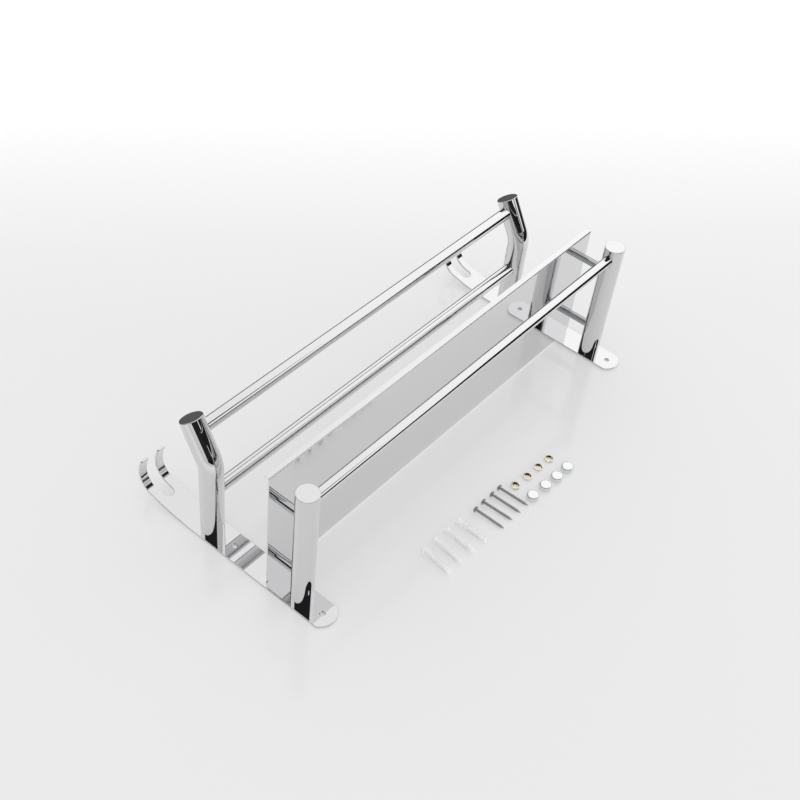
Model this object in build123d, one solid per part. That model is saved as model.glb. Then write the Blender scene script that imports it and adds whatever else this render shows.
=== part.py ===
from build123d import *
import os
from math import atan2, cos, radians, sin

# Wall-mounted towel rack, in millimetres. It lies on its back: the wall is the plane z = 0, +Z points out
# of the wall and +Y points up it, so the rack's hooks are at the -Y end and its shelf is at the +Y end.
# The origin is the centre of the four wall screw holes, on the wall.

# overall
OVERALL_LENGTH = 600.0
STRIP_WIDTH = 35.0
STRIP_THICK = 3.0
POST_X = (OVERALL_LENGTH - STRIP_WIDTH) / 2
SIDES = {"left": -1, "right": 1}

# wall plates; the curl is arcs in a row, each with its inner face's radius and its turn in degrees
PLATE_END_Y = 82.5
PLATE_END_R = 20.0
PLATE_EDGE_R = 0.7
SCREW_HOLE_Y = 66.5
SCREW_HOLE_R = 2.75
HOLE_RIM = 0.6
CURL_START_Y = -116.0
CURL_ARCS = [(282.0, 14.0), (21.5, 76.0), (50.0, 27.0)]
HOOK_SLOT_WIDTH = 14.0
HOOK_SLOT_END_Y = -168.0
SLOT_REACH = 100.0
TIP_CORNER_R = 2.5

# posts
TUBE_WALL = 1.2
STRAIGHT_TUBE_R = 13.0
BENT_TUBE_R = 14.0
STRAIGHT_POST_Y = 36.5
STRAIGHT_POST_TOP = 178.0
BENT_POST_Y = -101.5
BEND_Z = 113.5
BEND_ANGLE = 30.0
BEND_R = 40.0
BENT_LENGTH = 58.0
CAP_THICK = 2.0
CAP_EDGE = 0.7
SPIGOT_LENGTH = 6.0
SLIP = 0.1

# bars and rail
TOWEL_BAR_R = 8.0
TOWEL_BAR_WALL = 1.0
UPPER_BAR_BEYOND_BEND = 41.0
LOWER_BAR_Z = 67.0
RAIL_R = 6.5
RAIL_WALL = 0.8
RAIL_Z = 162.0
BAR_END_INSIDE = 8.0

# shelf
SHELF_HALF_LENGTH = 293.0
SHELF_FRONT_Y = -6.0
SHELF_THICK = 1.5
SHELF_TOP = 173.5
LIP_DEPTH = 7.0
LIP_BEND_R = 2.5
SHELF_CORNER_R = 3.0
PIN_R = 5.0
PIN_Z = {"upper": 137.5, "lower": 43.0}

# hidden fastenings
BASE_PLUG_HEIGHT = 12.0
POST_SCREW_R = 2.95
POST_SCREW_HEAD_R = 5.9
POST_SCREW_LENGTH = 13.5
HEX_KEY = 4.0
SHELF_SCREW_R = 1.95
SHELF_SCREW_REACH = 14.0
SHELF_SCREW_HEAD_R = 3.8
SHELF_SCREW_HEAD = 2.2
SHELF_SCREW_EDGE = 0.8
SHELF_HEX_KEY = 2.5
SHELF_HEX_DEPTH = 1.3
TAPPING_ROOM = 1.0

# loose wall fixings, laid beside the rack: x, y and turn in degrees of each
SCREW_SHANK_R = 2.0
SCREW_HEAD_R = 4.0
SCREW_HEAD = 2.4
SCREW_HEAD_EDGE = 1.2
SCREW_LENGTH = 43.0
SCREW_POINT = 5.0
SCREW_POINT_R = 0.1
CROSS_SPAN = 4.4
CROSS_SLOT = 1.0
CROSS_DEPTH = 1.4
SCREW_PLACES = [(50.0, 96.4, 2.5), (34.4, 96.0, 4.4), (18.0, 96.4, 3.8), (3.2, 96.4, 4.6)]
RING_R = 5.6
RING_CUP_R = 4.6
RING_HOLE_R = 2.3
RING_HEIGHT = 2.8
RING_FLOOR = 0.8
RING_PLACES = [(-15.0, 109.2), (-37.4, 111.0), (-59.2, 111.8), (-80.2, 113.2)]
COVER_R = 7.6
COVER_HEIGHT = 7.0
COVER_EDGE = 1.8
COVER_BORE_R = 5.8
COVER_BORE_DEPTH = 5.2
COVER_PLACES = [(-15.0, 134.6), (-39.0, 136.4), (-60.6, 138.0), (-82.4, 138.6)]
PLUG_R = 4.3
PLUG_TIP_R = 3.2
PLUG_COLLAR_R = 5.4
PLUG_COLLAR = 1.6
PLUG_LENGTH = 42.0
PLUG_BORE_R = 1.7
PLUG_BORE_END = 4.0
PLUG_SPLIT = 1.2
PLUG_SPLIT_FROM = 15.0
PLUG_SPLIT_TO = 36.0
PLUG_RIBS = 6
PLUG_FIRST_RIB = 16.0
PLUG_RIB_SPACING = 3.8
PLUG_RIB = 2.4
PLUG_RIB_TAPER = 0.7
PLUG_PLACES = [(139.2, 92.0, -7.0), (119.4, 91.6, -5.0), (98.6, 92.4, -4.0), (79.0, 94.0, 0.0)]


def rod(radius, start, along, length):
    """A solid cylinder from the point start, along the direction along."""
    return Plane(origin=start, z_dir=along) * Cylinder(
        radius, length, align=(Align.CENTER, Align.CENTER, Align.MIN)
    )


def bent_axis():
    """The unit direction of the bent posts above their bend."""
    lean = radians(BEND_ANGLE)
    return Vector(0, -sin(lean), cos(lean))


def on_bent_axis(x, beyond):
    """The point on a bent post's axis, a distance beyond its bend."""
    return Vector(x, BENT_POST_Y, BEND_Z) + bent_axis() * beyond


def wall_plate(side):
    """A strip with a curved end; its other end is curled out from the wall and slit into two prongs."""
    x = side * POST_X
    flat = Pos(x, (PLATE_END_Y + CURL_START_Y) / 2, STRIP_THICK / 2) * Box(
        STRIP_WIDTH, PLATE_END_Y - CURL_START_Y, STRIP_THICK
    )
    end_centre_y = PLATE_END_Y - PLATE_END_R
    keep = rod(PLATE_END_R, (x, end_centre_y, 0), (0, 0, 1), STRIP_THICK)
    keep += Pos(x, (end_centre_y + CURL_START_Y) / 2, STRIP_THICK / 2) * Box(
        STRIP_WIDTH, end_centre_y - CURL_START_Y, STRIP_THICK
    )
    plate = (flat & keep) + hook_curl(x) - hook_slot(x)
    through = plate.edges().filter_by(lambda e: abs(e.length - STRIP_THICK) < 0.01)
    plate = fillet(through.group_by(Axis.Z)[-1], TIP_CORNER_R)
    plate = fillet(plate.edges(), PLATE_EDGE_R)
    for y in (SCREW_HOLE_Y, -SCREW_HOLE_Y):
        plate -= rod(SCREW_HOLE_R, (x, y, 0), (0, 0, 1), STRIP_THICK)
        plate -= Pos(x, y, STRIP_THICK - HOLE_RIM / 2) * Cone(SCREW_HOLE_R, SCREW_HOLE_R + HOLE_RIM, HOLE_RIM)
    for y in (STRAIGHT_POST_Y, BENT_POST_Y):
        plate -= rod(POST_SCREW_R + SLIP, (x, y, 0), (0, 0, 1), STRIP_THICK)
        plate -= Pos(x, y, 0) * countersink(POST_SCREW_HEAD_R + SLIP)
    return plate


def hook_slot(x):
    """What is cut away between a hook's prongs: a round-ended slot, open past their tips."""
    slot_y = HOOK_SLOT_END_Y - HOOK_SLOT_WIDTH / 2
    slot = rod(HOOK_SLOT_WIDTH / 2, (x, slot_y, -SLOT_REACH), (0, 0, 1), 2 * SLOT_REACH)
    return slot + Pos(x, slot_y - SLOT_REACH / 2, 0) * Box(HOOK_SLOT_WIDTH, SLOT_REACH, 2 * SLOT_REACH)


def countersink(radius):
    """A 90 degree cone that narrows upwards from z = 0 to the post screw's shank."""
    depth = radius - POST_SCREW_R
    return Pos(0, 0, depth / 2) * Cone(radius, POST_SCREW_R, depth)


def hook_curl(x):
    """The curled end: arcs in a row, each with its inner face's radius and its turn away from the wall."""
    y, z, turned = CURL_START_Y, STRIP_THICK, 0.0
    curl = Part()
    for radius, turn in CURL_ARCS:
        centre_y = y + radius * sin(turned)
        centre_z = z + radius * cos(turned)
        outwards = (0, -sin(turned), -cos(turned))
        middle = Vector(x, y, z) + Vector(*outwards) * (STRIP_THICK / 2)
        start = Plane(origin=middle, x_dir=(1, 0, 0), z_dir=(0, -cos(turned), sin(turned)))
        section = start * Rectangle(STRIP_WIDTH, STRIP_THICK)
        curl += revolve(section, Axis((x, centre_y, centre_z), (-1, 0, 0)), turn)
        turned += radians(turn)
        y = centre_y - radius * sin(turned)
        z = centre_z - radius * cos(turned)
    return curl


def straight_post(side):
    """A tube that stands on the wall plate, drilled for the guard rail and for its two shelf pins."""
    x = side * POST_X
    foot = (x, STRAIGHT_POST_Y, STRIP_THICK)
    length = STRAIGHT_POST_TOP - CAP_THICK - STRIP_THICK
    post = rod(STRAIGHT_TUBE_R, foot, (0, 0, 1), length)
    post -= rod(STRAIGHT_TUBE_R - TUBE_WALL, foot, (0, 0, 1), length)
    post -= rod(RAIL_R + SLIP, (x, STRAIGHT_POST_Y, RAIL_Z), (-side, 0, 0), 2 * STRAIGHT_TUBE_R)
    for z in PIN_Z.values():
        post -= rod(PIN_R + SLIP, (x, STRAIGHT_POST_Y, z), (0, -1, 0), 2 * STRAIGHT_TUBE_R)
    return post


def bent_post(side):
    """A tube that leans towards the hooks above its bend, drilled for the two towel bars."""
    x = side * POST_X
    path = FilletPolyline(
        (x, BENT_POST_Y, STRIP_THICK),
        (x, BENT_POST_Y, BEND_Z),
        on_bent_axis(x, BENT_LENGTH - CAP_THICK),
        radius=BEND_R,
    )
    foot = Plane(origin=(x, BENT_POST_Y, STRIP_THICK))
    post = sweep(foot * (Circle(BENT_TUBE_R) - Circle(BENT_TUBE_R - TUBE_WALL)), path=path)
    for centre in (on_bent_axis(x, UPPER_BAR_BEYOND_BEND), Vector(x, BENT_POST_Y, LOWER_BAR_Z)):
        post -= rod(TOWEL_BAR_R + SLIP, centre, (-side, 0, 0), 2 * BENT_TUBE_R)
    return post


def post_cap(tube_r, seat, along):
    """A flat disc with a softened edge, and a spigot that holds it in the tube's open end at seat."""
    disc = Cylinder(tube_r, CAP_THICK, align=(Align.CENTER, Align.CENTER, Align.MIN))
    disc = fillet(disc.edges().group_by(Axis.Z)[-1], CAP_EDGE)
    cap = disc + rod(tube_r - TUBE_WALL - SLIP, (0, 0, 0), (0, 0, -1), SPIGOT_LENGTH)
    return Plane(origin=seat, z_dir=along) * cap


def cross_tube(radius, wall, y, z):
    """A tube along X that ends inside the posts of both sides."""
    half = POST_X - BAR_END_INSIDE
    end = (-half, y, z)
    return rod(radius, end, (1, 0, 0), 2 * half) - rod(radius - wall, end, (1, 0, 0), 2 * half)


def shelf_plate():
    """A sheet on edge between the plates, with a lip folded away from the guard rail along its outer edge."""
    back = SHELF_FRONT_Y - SHELF_THICK
    height = SHELF_TOP - STRIP_THICK
    sheet = Pos(0, SHELF_FRONT_Y - SHELF_THICK / 2, STRIP_THICK + height / 2) * Box(
        2 * SHELF_HALF_LENGTH, SHELF_THICK, height
    )
    sheet += Pos(0, SHELF_FRONT_Y - LIP_DEPTH / 2, SHELF_TOP - SHELF_THICK / 2) * Box(
        2 * SHELF_HALF_LENGTH, LIP_DEPTH, SHELF_THICK
    )
    along = sheet.edges().filter_by(Axis.X)
    outer = along.filter_by_position(Axis.Z, SHELF_TOP, SHELF_TOP).sort_by(Axis.Y)[-1]
    sheet = fillet(outer, LIP_BEND_R)
    along = sheet.edges().filter_by(Axis.X)
    inner = along.filter_by_position(Axis.Y, back, back).sort_by(Axis.Z)[-1]
    sheet = fillet(inner, LIP_BEND_R - SHELF_THICK)
    foot = sheet.edges().filter_by(Axis.Y).filter_by_position(Axis.Z, STRIP_THICK, STRIP_THICK)
    sheet = fillet(foot, SHELF_CORNER_R)
    for side in SIDES.values():
        for z in PIN_Z.values():
            sheet -= rod(SHELF_SCREW_R + SLIP, (side * POST_X, back, z), (0, 1, 0), SHELF_THICK)
    return sheet


def shelf_pin(side, z):
    """A rod from the shelf plate's face into the straight post, tapped at the shelf end."""
    x = side * POST_X
    end = (x, SHELF_FRONT_Y, z)
    pin = rod(PIN_R, end, (0, 1, 0), STRAIGHT_POST_Y - BAR_END_INSIDE - SHELF_FRONT_Y)
    return pin - rod(SHELF_SCREW_R + SLIP, end, (0, 1, 0), SHELF_SCREW_REACH + TAPPING_ROOM)


def base_plug(tube_r, x, y):
    """A tapped plug inside the foot of a post."""
    foot = (x, y, STRIP_THICK)
    plug = rod(tube_r - TUBE_WALL - SLIP, foot, (0, 0, 1), BASE_PLUG_HEIGHT)
    bore = POST_SCREW_LENGTH - STRIP_THICK + TAPPING_ROOM
    return plug - rod(POST_SCREW_R + SLIP, foot, (0, 0, 1), bore)


def post_screw(x, y):
    """A countersunk screw from the plate's back into a base plug, with a hexagon socket."""
    screw = Pos(x, y, 0) * countersink(POST_SCREW_HEAD_R)
    screw += rod(POST_SCREW_R, (x, y, 0), (0, 0, 1), POST_SCREW_LENGTH)
    socket = extrude(RegularPolygon(HEX_KEY / 2, 6, major_radius=False), HEX_KEY / 2)
    return screw - Pos(x, y, 0) * socket


def shelf_screw(x, z):
    """A low-headed screw from the back of the shelf plate into a pin, with a hexagon socket."""
    back = SHELF_FRONT_Y - SHELF_THICK
    screw = rod(SHELF_SCREW_HEAD_R, (x, back, z), (0, -1, 0), SHELF_SCREW_HEAD)
    screw = fillet(screw.edges().group_by(Axis.Y)[0], SHELF_SCREW_EDGE)
    screw += rod(SHELF_SCREW_R, (x, back, z), (0, 1, 0), SHELF_SCREW_REACH + SHELF_THICK)
    socket = extrude(RegularPolygon(SHELF_HEX_KEY / 2, 6, major_radius=False), SHELF_HEX_DEPTH)
    return screw - Plane(origin=(x, back - SHELF_SCREW_HEAD, z), z_dir=(0, 1, 0)) * socket


def wall_screw(x, y, turn):
    """A pan-head wood screw with a cross recess, lying on its head's rim and the end of its shank."""
    head = Cylinder(SCREW_HEAD_R, SCREW_HEAD, align=(Align.CENTER, Align.CENTER, Align.MIN))
    head = fillet(head.edges().group_by(Axis.Z)[0], SCREW_HEAD_EDGE)
    straight = SCREW_LENGTH - SCREW_HEAD - SCREW_POINT
    shank = rod(SCREW_SHANK_R, (0, 0, SCREW_HEAD), (0, 0, 1), straight)
    middle = SCREW_LENGTH - SCREW_POINT / 2
    point = Pos(0, 0, middle) * Cone(SCREW_SHANK_R, SCREW_POINT_R, SCREW_POINT)
    screw = head + shank + point
    for width, length in ((CROSS_SPAN, CROSS_SLOT), (CROSS_SLOT, CROSS_SPAN)):
        screw -= Pos(0, 0, CROSS_DEPTH / 2) * Box(width, length, CROSS_DEPTH)
    shank_end = SCREW_LENGTH - SCREW_POINT
    laid = laid_down(screw, (SCREW_HEAD, SCREW_HEAD_R), (shank_end, SCREW_SHANK_R))
    return Pos(x, y, 0) * Rot(0, 0, turn) * laid


def laid_down(piece, near, far):
    """A piece made upright, laid along +Y to rest on two of its circles, each a height and a radius."""
    tilt = atan2(near[1] - far[1], far[0] - near[0])
    lift = near[1] * cos(tilt) + near[0] * sin(tilt)
    return Plane(origin=(0, 0, lift), x_dir=(1, 0, 0), z_dir=(0, cos(tilt), -sin(tilt))) * piece


def cover_ring(x, y):
    """A screw-on base ring: a shallow cup with a hole for the wall screw."""
    ring = rod(RING_R, (x, y, 0), (0, 0, 1), RING_HEIGHT)
    ring -= rod(RING_CUP_R, (x, y, RING_FLOOR), (0, 0, 1), RING_HEIGHT)
    return ring - rod(RING_HOLE_R, (x, y, 0), (0, 0, 1), RING_HEIGHT)


def cover_cap(x, y):
    """A cap that hides a wall screw's head, bored from below to screw on to its ring."""
    cap = rod(COVER_R, (x, y, 0), (0, 0, 1), COVER_HEIGHT)
    cap = fillet(cap.edges().group_by(Axis.Z)[-1], COVER_EDGE)
    return cap - rod(COVER_BORE_R, (x, y, 0), (0, 0, 1), COVER_BORE_DEPTH)


def wall_plug(x, y, turn):
    """An expansion plug lying on its collar and its last rib: a ribbed taper, split along its tip."""
    body = Pos(0, 0, PLUG_LENGTH / 2) * Cone(PLUG_R, PLUG_TIP_R, PLUG_LENGTH)
    collar = rod(PLUG_COLLAR_R, (0, 0, 0), (0, 0, 1), PLUG_COLLAR)
    plug = body + collar
    for k in range(PLUG_RIBS):
        rib = Cone(PLUG_R, PLUG_R - PLUG_RIB_TAPER, PLUG_RIB)
        plug += Pos(0, 0, PLUG_FIRST_RIB + k * PLUG_RIB_SPACING) * rib
    plug -= rod(PLUG_BORE_R, (0, 0, 0), (0, 0, 1), PLUG_LENGTH - PLUG_BORE_END)
    split = Box(4 * PLUG_R, PLUG_SPLIT, PLUG_SPLIT_TO - PLUG_SPLIT_FROM)
    plug -= Pos(0, 0, (PLUG_SPLIT_FROM + PLUG_SPLIT_TO) / 2) * split
    last_rib = PLUG_FIRST_RIB + (PLUG_RIBS - 1) * PLUG_RIB_SPACING - PLUG_RIB / 2
    laid = laid_down(plug, (PLUG_COLLAR, PLUG_COLLAR_R), (last_rib, PLUG_R))
    return Pos(x, y, 0) * Rot(0, 0, turn) * laid


def towel_rack():
    """Every piece of the rack and its fixings, by node name."""
    pieces = {}
    upper_bar = on_bent_axis(0, UPPER_BAR_BEYOND_BEND)
    for name, side in SIDES.items():
        x = side * POST_X
        pieces[name + "_wall_plate"] = wall_plate(side)
        pieces[name + "_straight_post"] = straight_post(side)
        pieces[name + "_bent_post"] = bent_post(side)
        straight_seat = (x, STRAIGHT_POST_Y, STRAIGHT_POST_TOP - CAP_THICK)
        bent_seat = on_bent_axis(x, BENT_LENGTH - CAP_THICK)
        pieces[name + "_straight_post_cap"] = post_cap(STRAIGHT_TUBE_R, straight_seat, (0, 0, 1))
        pieces[name + "_bent_post_cap"] = post_cap(BENT_TUBE_R, bent_seat, bent_axis())
        pieces[name + "_straight_base_plug"] = base_plug(STRAIGHT_TUBE_R, x, STRAIGHT_POST_Y)
        pieces[name + "_bent_base_plug"] = base_plug(BENT_TUBE_R, x, BENT_POST_Y)
        for level, z in PIN_Z.items():
            pieces[f"{name}_{level}_shelf_pin"] = shelf_pin(side, z)
    pieces["upper_towel_bar"] = cross_tube(TOWEL_BAR_R, TOWEL_BAR_WALL, upper_bar.Y, upper_bar.Z)
    pieces["lower_towel_bar"] = cross_tube(TOWEL_BAR_R, TOWEL_BAR_WALL, BENT_POST_Y, LOWER_BAR_Z)
    pieces["guard_rail"] = cross_tube(RAIL_R, RAIL_WALL, STRAIGHT_POST_Y, RAIL_Z)
    pieces["shelf_plate"] = shelf_plate()
    post_places = [(s * POST_X, y) for s in SIDES.values() for y in (STRAIGHT_POST_Y, BENT_POST_Y)]
    pin_places = [(s * POST_X, z) for s in SIDES.values() for z in PIN_Z.values()]
    groups = {
        "post_screws": (post_screw, post_places),
        "shelf_screws": (shelf_screw, pin_places),
        "wall_screws": (wall_screw, SCREW_PLACES),
        "cover_rings": (cover_ring, RING_PLACES),
        "cover_caps": (cover_cap, COVER_PLACES),
        "wall_plugs": (wall_plug, PLUG_PLACES),
    }
    for name, (make, places) in groups.items():
        pieces[name] = Compound([solid for place in places for solid in make(*place).solids()])
    return pieces


os.makedirs("parts", exist_ok=True)
for node, shape in towel_rack().items():
    export_step(shape, f"parts/{node}.step")
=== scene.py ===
import math

import bmesh
import bpy
import numpy as np
from mathutils import Matrix, Vector


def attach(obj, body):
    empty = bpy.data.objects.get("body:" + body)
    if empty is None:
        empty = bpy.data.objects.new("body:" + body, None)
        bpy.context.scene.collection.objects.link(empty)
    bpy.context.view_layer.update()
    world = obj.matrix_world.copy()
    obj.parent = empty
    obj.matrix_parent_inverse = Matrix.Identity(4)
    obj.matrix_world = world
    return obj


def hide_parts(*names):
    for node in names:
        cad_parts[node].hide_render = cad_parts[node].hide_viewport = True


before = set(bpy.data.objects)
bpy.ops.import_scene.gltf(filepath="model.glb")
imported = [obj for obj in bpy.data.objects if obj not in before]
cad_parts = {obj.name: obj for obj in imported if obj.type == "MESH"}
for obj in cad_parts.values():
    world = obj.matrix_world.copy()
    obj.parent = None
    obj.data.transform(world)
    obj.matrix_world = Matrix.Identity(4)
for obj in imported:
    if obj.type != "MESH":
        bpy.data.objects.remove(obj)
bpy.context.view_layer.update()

MM = 0.001
TURN = 2 * math.pi


# ---------------------------------------------------------------- nodes and colours

def colour(text):
    """The linear colour of an sRGB hex value such as #C9CBCD."""
    channels = [int(text[i:i + 2], 16) / 255 for i in (1, 3, 5)]
    linear = [c / 12.92 if c <= 0.04045 else ((c + 0.055) / 1.055) ** 2.4 for c in channels]
    return (*linear, 1.0)


def grey(value):
    """A colour ramp's colour for a plain number."""
    return (value, value, value, 1.0)


def add(tree, kind, inputs=None, **settings):
    """Adds a node. Each input takes a value, another node's output, or a node for its first output."""
    node = tree.nodes.new("ShaderNode" + kind)
    for name, value in settings.items():
        setattr(node, name, value)
    for name, value in (inputs or {}).items():
        if isinstance(value, bpy.types.Node):
            value = value.outputs[0]
        if isinstance(value, bpy.types.NodeSocket):
            tree.links.new(value, node.inputs[name])
        else:
            node.inputs[name].default_value = value
    return node


def set_stops(ramp, stops):
    """Gives a colour ramp its stops, each a place from 0 to 1 and a linear colour."""
    while len(ramp.elements) < len(stops):
        ramp.elements.new(1.0)
    for element, (place, shade) in zip(ramp.elements, stops):
        element.position = place
        element.color = shade


def new_material(name):
    """An empty material, its node tree, and the place on the object in metres."""
    material = bpy.data.materials.new(name)
    material.use_nodes = True
    tree = material.node_tree
    tree.nodes.clear()
    return material, tree, add(tree, "TexCoord").outputs["Object"]


# ---------------------------------------------------------------- materials

# Real buffing lines are about 0.03 mm wide and lathe lines 0.1 mm apart: both are drawn coarser, to show.
BUFF_LINE = 0.35 * MM
TOOL_LINE = 0.3 * MM
# The size of a smear of polish, a mark of the heading die, a patch of tarnish and a ripple in the plating.
SMEAR = 45 * MM
DIE_MARK = 1.5 * MM
TARNISH_PATCH = 4 * MM
PLATING_RIPPLE = 2.5 * MM
# Nylon's cloudiness and its moulded grain, and how deep light goes into it.
NYLON_CLOUD = 6 * MM
NYLON_GRAIN = 0.4 * MM
NYLON_DEPTH = 3 * MM

# How a pattern is squeezed along x, y and z to draw its lines out along one of them.
LINES_ALONG_X = (0.02, 1.0, 1.0)
LINES_ALONG_Y = (1.0, 0.02, 1.0)
LINES_ALONG_Z = (1.0, 1.0, 0.02)


def mirror_steel(name, tone, lines_along, haze):
    """Stainless steel buffed on a soft wheel: a mirror, with faint lines and a thin haze of polish.

    lines_along is the way the wheel went; haze is the mirror's own roughness.
    """
    material, tree, place = new_material(name)
    stretched = add(tree, "Mapping", {"Vector": place, "Scale": lines_along})
    lines = add(tree, "TexNoise", {"Vector": stretched, "Scale": 1 / BUFF_LINE, "Detail": 2.0})
    smear = add(tree, "TexNoise", {"Vector": place, "Scale": 1 / SMEAR, "Detail": 4.0})
    rough = add(tree, "MapRange", {"Value": smear, "To Min": 0.5 * haze, "To Max": 1.5 * haze})
    bump = add(tree, "Bump", {"Height": lines, "Strength": 0.012, "Distance": 0.02 * MM})
    shader = add(tree, "BsdfPrincipled", {
        "Base Color": colour(tone), "Metallic": 1.0, "Roughness": rough, "Normal": bump})
    add(tree, "OutputMaterial", {"Surface": shader})
    return material


def turned_steel():
    """Stainless steel from the lathe: grey, with fine tool lines that soften its shine."""
    material, tree, place = new_material("turned_stainless_steel")
    stretched = add(tree, "Mapping", {"Vector": place, "Scale": (0.1, 0.1, 1.0)})
    lines = add(tree, "TexNoise", {"Vector": stretched, "Scale": 1 / TOOL_LINE, "Detail": 3.0})
    rough = add(tree, "MapRange", {"Value": lines, "To Min": 0.2, "To Max": 0.36})
    bump = add(tree, "Bump", {"Height": lines, "Strength": 0.25, "Distance": 0.03 * MM})
    shader = add(tree, "BsdfPrincipled", {
        "Base Color": colour("#B9BBBD"), "Metallic": 1.0, "Roughness": rough, "Normal": bump})
    add(tree, "OutputMaterial", {"Surface": shader})
    return material


def headed_steel():
    """Cold-headed and rolled stainless steel: darker and duller than the polished parts, with die marks."""
    material, tree, place = new_material("cold_headed_stainless_steel")
    marks = add(tree, "TexNoise", {"Vector": place, "Scale": 1 / DIE_MARK, "Detail": 5.0})
    rough = add(tree, "MapRange", {"Value": marks, "To Min": 0.05, "To Max": 0.14})
    bump = add(tree, "Bump", {"Height": marks, "Strength": 0.08, "Distance": 0.02 * MM})
    shader = add(tree, "BsdfPrincipled", {
        "Base Color": colour("#A4A6A8"), "Metallic": 1.0, "Roughness": rough, "Normal": bump})
    add(tree, "OutputMaterial", {"Surface": shader})
    return material


def turned_brass():
    """Bright turned brass: pale gold, with tool lines round it and a little tarnish in patches."""
    material, tree, place = new_material("turned_brass")
    stretched = add(tree, "Mapping", {"Vector": place, "Scale": (0.2, 0.2, 1.0)})
    lines = add(tree, "TexNoise", {"Vector": stretched, "Scale": 1 / TOOL_LINE, "Detail": 2.0})
    patches = add(tree, "TexNoise", {"Vector": place, "Scale": 1 / TARNISH_PATCH, "Detail": 3.0})
    tone = add(tree, "ValToRGB", {"Fac": patches})
    set_stops(tone.color_ramp, [(0.35, colour("#C9BD9F")), (0.6, colour("#F3EDDB"))])
    rough = add(tree, "MapRange", {"Value": lines, "To Min": 0.06, "To Max": 0.16})
    bump = add(tree, "Bump", {"Height": lines, "Strength": 0.2, "Distance": 0.03 * MM})
    shader = add(tree, "BsdfPrincipled", {
        "Base Color": tone, "Metallic": 1.0, "Roughness": rough, "Normal": bump})
    add(tree, "OutputMaterial", {"Surface": shader})
    return material


def chrome_plate():
    """Chrome plated over turned brass: a cold white mirror with a faint ripple from the bath."""
    material, tree, place = new_material("chrome_plated_brass")
    ripple = add(tree, "TexNoise", {"Vector": place, "Scale": 1 / PLATING_RIPPLE, "Detail": 2.0})
    rough = add(tree, "MapRange", {"Value": ripple, "To Min": 0.03, "To Max": 0.08})
    bump = add(tree, "Bump", {"Height": ripple, "Strength": 0.05, "Distance": 0.05 * MM})
    shader = add(tree, "BsdfPrincipled", {
        "Base Color": colour("#E6E7E9"), "Metallic": 1.0, "Roughness": rough, "Normal": bump})
    add(tree, "OutputMaterial", {"Surface": shader})
    return material


def moulded_nylon():
    """Moulded natural nylon: milky white that lets light through its thin walls, with a soft waxy shine."""
    material, tree, place = new_material("moulded_white_nylon")
    cloud = add(tree, "TexNoise", {"Vector": place, "Scale": 1 / NYLON_CLOUD, "Detail": 3.0})
    grain = add(tree, "TexNoise", {"Vector": place, "Scale": 1 / NYLON_GRAIN, "Detail": 2.0})
    tone = add(tree, "ValToRGB", {"Fac": cloud})
    set_stops(tone.color_ramp, [(0.3, colour("#F7F8F8")), (0.7, colour("#FEFEFE"))])
    rough = add(tree, "MapRange", {"Value": grain, "To Min": 0.28, "To Max": 0.42})
    bump = add(tree, "Bump", {"Height": grain, "Strength": 0.08, "Distance": 0.05 * MM})
    shader = add(tree, "BsdfPrincipled", {
        "Base Color": tone, "Roughness": rough, "IOR": 1.53, "Subsurface Weight": 1.0,
        "Subsurface Radius": (1.0, 1.0, 1.0), "Subsurface Scale": NYLON_DEPTH, "Normal": bump})
    add(tree, "OutputMaterial", {"Surface": shader})
    return material


# ---------------------------------------------------------------- floor

FLOOR_RADIUS = 1.52
FLOOR_SIDES = 160
FLOOR_DROP = 0.4 * MM
# How strongly the floor glows: painted light, since no lamp lights it from under.
FLOOR_PAINTED_GLOW = 1.05
# The way over the floor from the near end to the far edge, in metres, and the floor's colour along it: its
# own white with painted light, brighter towards the far edge.
FAR_WAY = Vector((-0.648, -0.762, 0.0))
FLOOR_NEAR = 0.25
FLOOR_FAR = 1.05
FLOOR_WHITE_AND_PAINTED_LIGHT = [(0.0, "#A8A8A8"), (0.2, "#AAAAAA"), (0.4, "#AFAFAF"), (0.6, "#B5B5B5"), (1.0, "#B9B9B9")]
# The floor's straight edge beyond the far end: a point on it, and the way out across it.
FLOOR_EDGE = Vector((-0.213, 0.421, 0.0))
FLOOR_EDGE_WAY = Vector((-0.451, 0.892, 0.0))


def acrylic_with_painted_glow():
    """Glossy white acrylic with a painted glow, so that shadows on it are pale, and painted brighter towards
    the far edge.
    """
    material, tree, place = new_material("white_acrylic_with_painted_glow")
    along = add(tree, "VectorMath", {0: place, 1: FAR_WAY}, operation="DOT_PRODUCT").outputs["Value"]
    far = add(tree, "MapRange", {"Value": along, "From Min": FLOOR_NEAR, "From Max": FLOOR_FAR})
    shade = add(tree, "ValToRGB", {"Fac": far})
    set_stops(shade.color_ramp, [(at, colour(text)) for at, text in FLOOR_WHITE_AND_PAINTED_LIGHT])
    # The ramp feeds both the colour and the glow: painted light that makes the floor's shadows pale and its
    # far edge brighter.
    shader = add(tree, "BsdfPrincipled", {
        "Base Color": shade, "Roughness": 0.12, "IOR": 1.45, "Emission Color": shade,
        "Emission Strength": FLOOR_PAINTED_GLOW})
    add(tree, "OutputMaterial", {"Surface": shader})
    return material


def pale_floor():
    """A round sheet of acrylic with one side cut straight, just under the rack."""
    shape = bmesh.new()
    bmesh.ops.create_circle(shape, cap_ends=True, radius=FLOOR_RADIUS, segments=FLOOR_SIDES)
    bmesh.ops.bisect_plane(shape, geom=shape.verts[:] + shape.edges[:] + shape.faces[:],
                           plane_co=FLOOR_EDGE, plane_no=FLOOR_EDGE_WAY, clear_outer=True)
    mesh = bpy.data.meshes.new("floor")
    shape.to_mesh(mesh)
    shape.free()
    mesh.materials.append(acrylic_with_painted_glow())
    floor = bpy.data.objects.new("floor", mesh)
    floor.location.z = -FLOOR_DROP
    bpy.context.collection.objects.link(floor)


# ---------------------------------------------------------------- light

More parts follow.
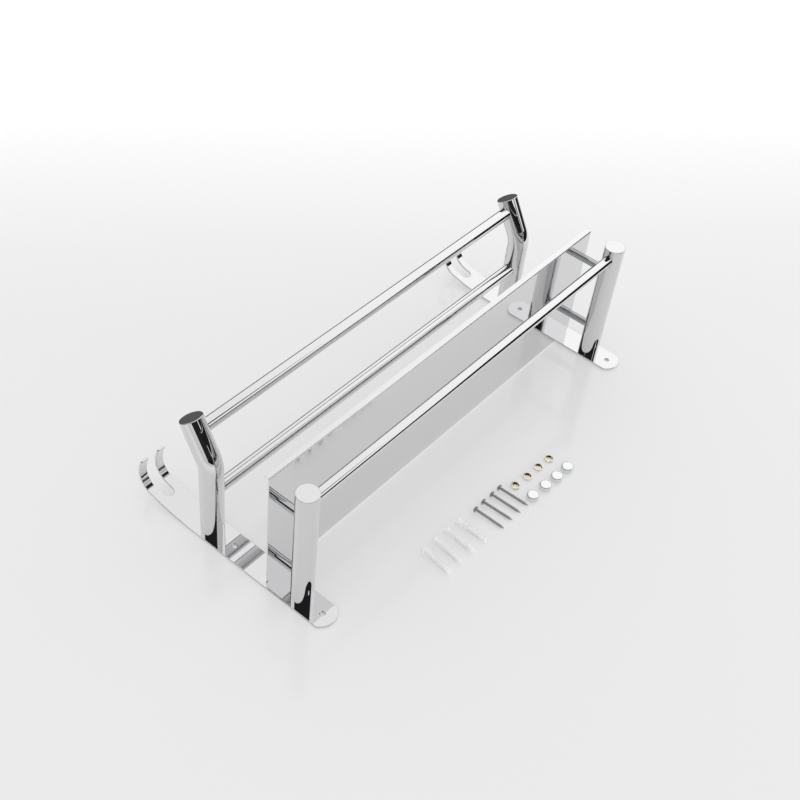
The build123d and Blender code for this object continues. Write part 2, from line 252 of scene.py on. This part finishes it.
# The studio in degrees: turn is round from +X towards +Y, rise is above the horizon.
# How high the dark band reaches at each turn: as a tall screen about turn -47, and lowest about turn 120.
BAND_TOPS = [(-180, 13), (-75, 13), (-64, 36), (-30, 36), (-18, 16), (111, 12), (113, 6), (127, 7),
             (132, 16), (150, 14), (180, 13)]
BAND_SHADE = 0.02
# How light the room below the horizon is at each turn.
UNDER_SHADES = [(-180, 0.12), (-75, 0.12), (-60, 0.8), (46, 0.8), (52, 0.01), (145, 0.01), (155, 0.08)]
# The middle and half size of the dark panel, and the narrow lamp before it, from the horizon to its top.
PANEL_TURN = 49.5
PANEL_HALF_TURN = 82.5
PANEL_RISE = 46.0
PANEL_HALF_RISE = 14.0
LAMP_TURN = 100.5
LAMP_HALF_TURN = 2.6
LAMP_TOP = 49.0
# The sky brightens towards the far end: the x part of the way to it, and how bright it is there.
SKY_NEAR = (-0.46, 1.02)
SKY_FAR = (-0.7, 1.26)


def studio_dome():
    """White light from all round above: a dark band at the horizon, a dark panel and one narrow lamp.

    Only mirrors see the band, the panel and the lamp: matt surfaces are lit evenly.
    """
    world = bpy.data.worlds.new("studio")
    bpy.context.scene.world = world
    world.use_nodes = True
    tree = world.node_tree
    tree.nodes.clear()
    way = add(tree, "SeparateXYZ", {"Vector": add(tree, "TexCoord").outputs["Generated"]}).outputs
    turn = add(tree, "Math", {0: way["Y"], 1: way["X"]}, operation="ARCTAN2")
    rise = add(tree, "Math", {0: way["Z"]}, operation="ARCSINE")
    round_room = add(tree, "Math", {0: turn, 1: 1 / TURN, 2: 0.5}, operation="MULTIPLY_ADD")

    band_top = add(tree, "ValToRGB", {"Fac": round_room})
    set_stops(band_top.color_ramp, [(at / 360 + 0.5, grey(top / 90)) for at, top in BAND_TOPS])
    over_band = add(tree, "Math", {0: band_top, 1: -TURN / 4, 2: rise}, operation="MULTIPLY_ADD")
    clear = add(tree, "Math", {0: over_band, 1: 0.0}, operation="GREATER_THAN")

    panel_turn, half_turn = math.radians(PANEL_TURN), math.radians(PANEL_HALF_TURN)
    panel_rise, half_rise = math.radians(PANEL_RISE), math.radians(PANEL_HALF_RISE)
    across = add(tree, "Math", {0: turn, 1: panel_turn, 2: half_turn}, operation="COMPARE")
    upright = add(tree, "Math", {0: rise, 1: panel_rise, 2: half_rise}, operation="COMPARE")
    panel = add(tree, "Math", {0: across, 1: upright}, operation="MULTIPLY")
    sky = add(tree, "Math", {0: clear, 1: panel}, operation="SUBTRACT", use_clamp=True)

    lamp_turn, half_lamp = math.radians(LAMP_TURN), math.radians(LAMP_HALF_TURN)
    beside = add(tree, "Math", {0: turn, 1: lamp_turn, 2: half_lamp}, operation="COMPARE")
    below = add(tree, "Math", {0: rise, 1: math.radians(LAMP_TOP)}, operation="LESS_THAN")
    lamp = add(tree, "Math", {0: beside, 1: below}, operation="MULTIPLY")
    lit = add(tree, "Math", {0: sky, 1: lamp}, operation="MAXIMUM")

    sky_shade = add(tree, "MapRange", {"Value": way["X"], "From Min": SKY_NEAR[0], "From Max": SKY_FAR[0],
                                       "To Min": SKY_NEAR[1], "To Max": SKY_FAR[1]})
    above = add(tree, "Mix", {"Factor": lit, "A": BAND_SHADE, "B": sky_shade}, data_type="FLOAT")
    under = add(tree, "ValToRGB", {"Fac": round_room})
    set_stops(under.color_ramp, [(at / 360 + 0.5, grey(shade)) for at, shade in UNDER_SHADES])
    risen = add(tree, "Math", {0: rise, 1: 0.0}, operation="GREATER_THAN")
    room = add(tree, "Mix", {"Factor": risen, "A": under, "B": above}, data_type="FLOAT")

    path = add(tree, "LightPath").outputs
    even = add(tree, "Math", {0: path["Is Camera Ray"], 1: path["Is Diffuse Ray"]}, operation="MAXIMUM")
    light = add(tree, "Mix", {"Factor": even, "A": room, "B": 1.0}, data_type="FLOAT")
    background = add(tree, "Background", {"Color": light, "Strength": 1.0})
    add(tree, "OutputWorld", {"Surface": background})


# ---------------------------------------------------------------- camera

# The camera stands high up, past the near end of the rack and on the side where the loose fixings lie.
CAMERA_PLACE = Vector((897.0, 559.9, 1120.9)) * MM
CAMERA_AIM = Vector((25.2, -46.4, 66.0)) * MM
CAMERA_ROLL = 0.125
CAMERA_LENS = 56.16


def camera():
    """The camera, turned a little about its own line of sight."""
    data = bpy.data.cameras.new("camera")
    data.lens = CAMERA_LENS
    seen = bpy.data.objects.new("camera", data)
    bpy.context.collection.objects.link(seen)
    ahead = (CAMERA_AIM - CAMERA_PLACE).normalized()
    level = ahead.cross(Vector((0, 0, 1))).normalized()
    above = level.cross(ahead)
    right = math.cos(CAMERA_ROLL) * level + math.sin(CAMERA_ROLL) * above
    up = -math.sin(CAMERA_ROLL) * level + math.cos(CAMERA_ROLL) * above
    turned = Matrix((right, up, -ahead)).transposed().to_4x4()
    seen.matrix_world = Matrix.Translation(CAMERA_PLACE) @ turned
    bpy.context.scene.camera = seen


# ---------------------------------------------------------------- the loose screws

# The thread's pitch and depth, and half its ridge's width as a part of the pitch.
THREAD_PITCH = 1.8 * MM
THREAD_DEPTH = 0.35 * MM
THREAD_RIDGE = 0.22
# The bare neck under the head and the length of the point, and the powers by which the core and the
# ridge run out to it: the smaller one stays thick for longer.
NECK = 1.2 * MM
POINT_LENGTH = 6.0 * MM
CORE_TAPER = 0.8
RIDGE_TAPER = 0.5
# Rows of points in one pitch, and points in a row.
ROWS_A_PITCH = 10
ROUND = 24
# The head is where the screw is wider than this part of its widest.
HEAD_PART = 0.7
# Points nearer than this are one point, and points further than this under the head are the shank's.
SAME_PLACE = 0.001 * MM
UNDER_HEAD = 0.01 * MM
# Faces that meet at more than this angle, in degrees, meet in a sharp edge.
SHARP = 35


def islands(shape):
    """The separate pieces of a mesh, each a list of its vertices."""
    seen = set()
    pieces = []
    for first in shape.verts:
        if first in seen:
            continue
        seen.add(first)
        piece = [first]
        for vertex in piece:
            beside = [edge.other_vert(vertex) for edge in vertex.link_edges]
            unseen = [other for other in beside if other not in seen]
            seen.update(unseen)
            piece.extend(unseen)
        pieces.append(piece)
    return pieces


def thread_radius(along, round_part, length, outer):
    """The radius of a wood screw's shank at a distance under its head and a part of a turn."""
    core = outer - THREAD_DEPTH
    to_point = min(1.0, (length - along) / POINT_LENGTH)
    from_neck = min(1.0, max(0.0, along - NECK) / THREAD_PITCH)
    phase = (along / THREAD_PITCH - round_part) % 1.0
    ridge = max(0.0, 1.0 - abs(phase - 0.5) / THREAD_RIDGE)
    return core * to_point ** CORE_TAPER + THREAD_DEPTH * ridge * from_neck * to_point ** RIDGE_TAPER


def add_thread(shape, start, axis, length, outer):
    """Adds rings of points down a shank, joined by faces, from under the head to the point."""
    across = axis.orthogonal().normalized()
    beyond = axis.cross(across)
    rows = round(length / THREAD_PITCH * ROWS_A_PITCH)
    rings = []
    for row in range(rows):
        s = length * row / rows
        ring = []
        for k in range(ROUND):
            angle = TURN * k / ROUND
            out = across * math.cos(angle) + beyond * math.sin(angle)
            ring.append(shape.verts.new(start + axis * s + out * thread_radius(s, k / ROUND, length, outer)))
        rings.append(ring)
    for near, far in zip(rings, rings[1:]):
        for k in range(ROUND):
            turned = (k + 1) % ROUND
            shape.faces.new((near[k], near[turned], far[turned], far[k])).smooth = True
    tip = shape.verts.new(start + axis * length)
    for k in range(ROUND):
        shape.faces.new((rings[-1][k], rings[-1][(k + 1) % ROUND], tip)).smooth = True


def thread_screw(shape, piece):
    """Takes off a screw's plain shank, found from its vertices, and puts a threaded one in its place."""
    points = np.array([vertex.co for vertex in piece])
    middle = points.mean(axis=0)
    axis = np.linalg.svd(points - middle)[2][0]
    along = (points - middle) @ axis
    radii = np.linalg.norm(points - middle - np.outer(along, axis), axis=1)
    if along[radii.argmax()] > 0:
        axis, along = -axis, -along
    head_end = along[radii > HEAD_PART * radii.max()].max()
    outer = radii[along > head_end + NECK].max()
    length = along.max() - head_end
    shank = [vertex for vertex, s in zip(piece, along) if s > head_end + UNDER_HEAD]
    bmesh.ops.delete(shape, geom=shank, context="VERTS")
    add_thread(shape, Vector(middle + axis * head_end), Vector(axis), length, outer)


def threaded_screws():
    """The loose screws: their heads as they are, with a rolled thread from neck to point."""
    shape = bmesh.new()
    shape.from_mesh(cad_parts["wall_screws"].data)
    bmesh.ops.remove_doubles(shape, verts=shape.verts, dist=SAME_PLACE)
    for piece in islands(shape):
        thread_screw(shape, piece)
    mesh = bpy.data.meshes.new("threaded_wall_screws")
    shape.normal_update()
    shape.to_mesh(mesh)
    shape.free()
    mesh.set_sharp_from_angle(angle=math.radians(SHARP))
    mesh.materials.append(headed_steel())
    screws = bpy.data.objects.new("threaded_wall_screws", mesh)
    bpy.context.collection.objects.link(screws)
    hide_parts("wall_screws")
    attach(screws, "root")


# ---------------------------------------------------------------- the other pieces

STEEL = "#DEDEDF"
# The pins' steel is the same steel painted darker: painted shade for the dark they reflect.
PAINTED_DARK_ROD_STEEL = "#B6B8BA"


def give(node, material):
    """Puts a material on every face of a CAD node."""
    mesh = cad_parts[node].data
    mesh.materials.clear()
    mesh.materials.append(material)


def finish_rack():
    """Gives the rack's own pieces their kinds of steel; the pins' steel is painted darker, as painted shade.
    """
    posts_steel = mirror_steel("buffed_tube_upright", STEEL, LINES_ALONG_Z, 0.02)
    bars_steel = mirror_steel("buffed_tube_across", STEEL, LINES_ALONG_X, 0.02)
    plates_steel = mirror_steel("buffed_strip", STEEL, LINES_ALONG_Y, 0.025)
    shelf_steel = mirror_steel("buffed_sheet", STEEL, LINES_ALONG_X, 0.03)
    # The pins' darker tone is painted shade, not a different steel.
    pins_steel = mirror_steel("drawn_rod_painted_dark", PAINTED_DARK_ROD_STEEL, LINES_ALONG_Y, 0.04)
    lathe_steel = turned_steel()
    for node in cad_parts:
        if node.endswith("base_plug") or node in ("post_screws", "shelf_screws"):
            give(node, lathe_steel)
        elif node.endswith("post") or node.endswith("post_cap"):
            give(node, posts_steel)
        elif node.endswith("bar") or node == "guard_rail":
            give(node, bars_steel)
        elif node.endswith("wall_plate"):
            give(node, plates_steel)
        elif node.endswith("pin"):
            give(node, pins_steel)
    give("shelf_plate", shelf_steel)


def finish_loose_fixings():
    """Gives the loose rings, caps and plugs their brass, chrome and nylon."""
    give("cover_rings", turned_brass())
    give("cover_caps", chrome_plate())
    give("wall_plugs", moulded_nylon())


camera()
pale_floor()
studio_dome()
bpy.context.scene.view_settings.view_transform = "Standard"
finish_rack()
finish_loose_fixings()
threaded_screws()
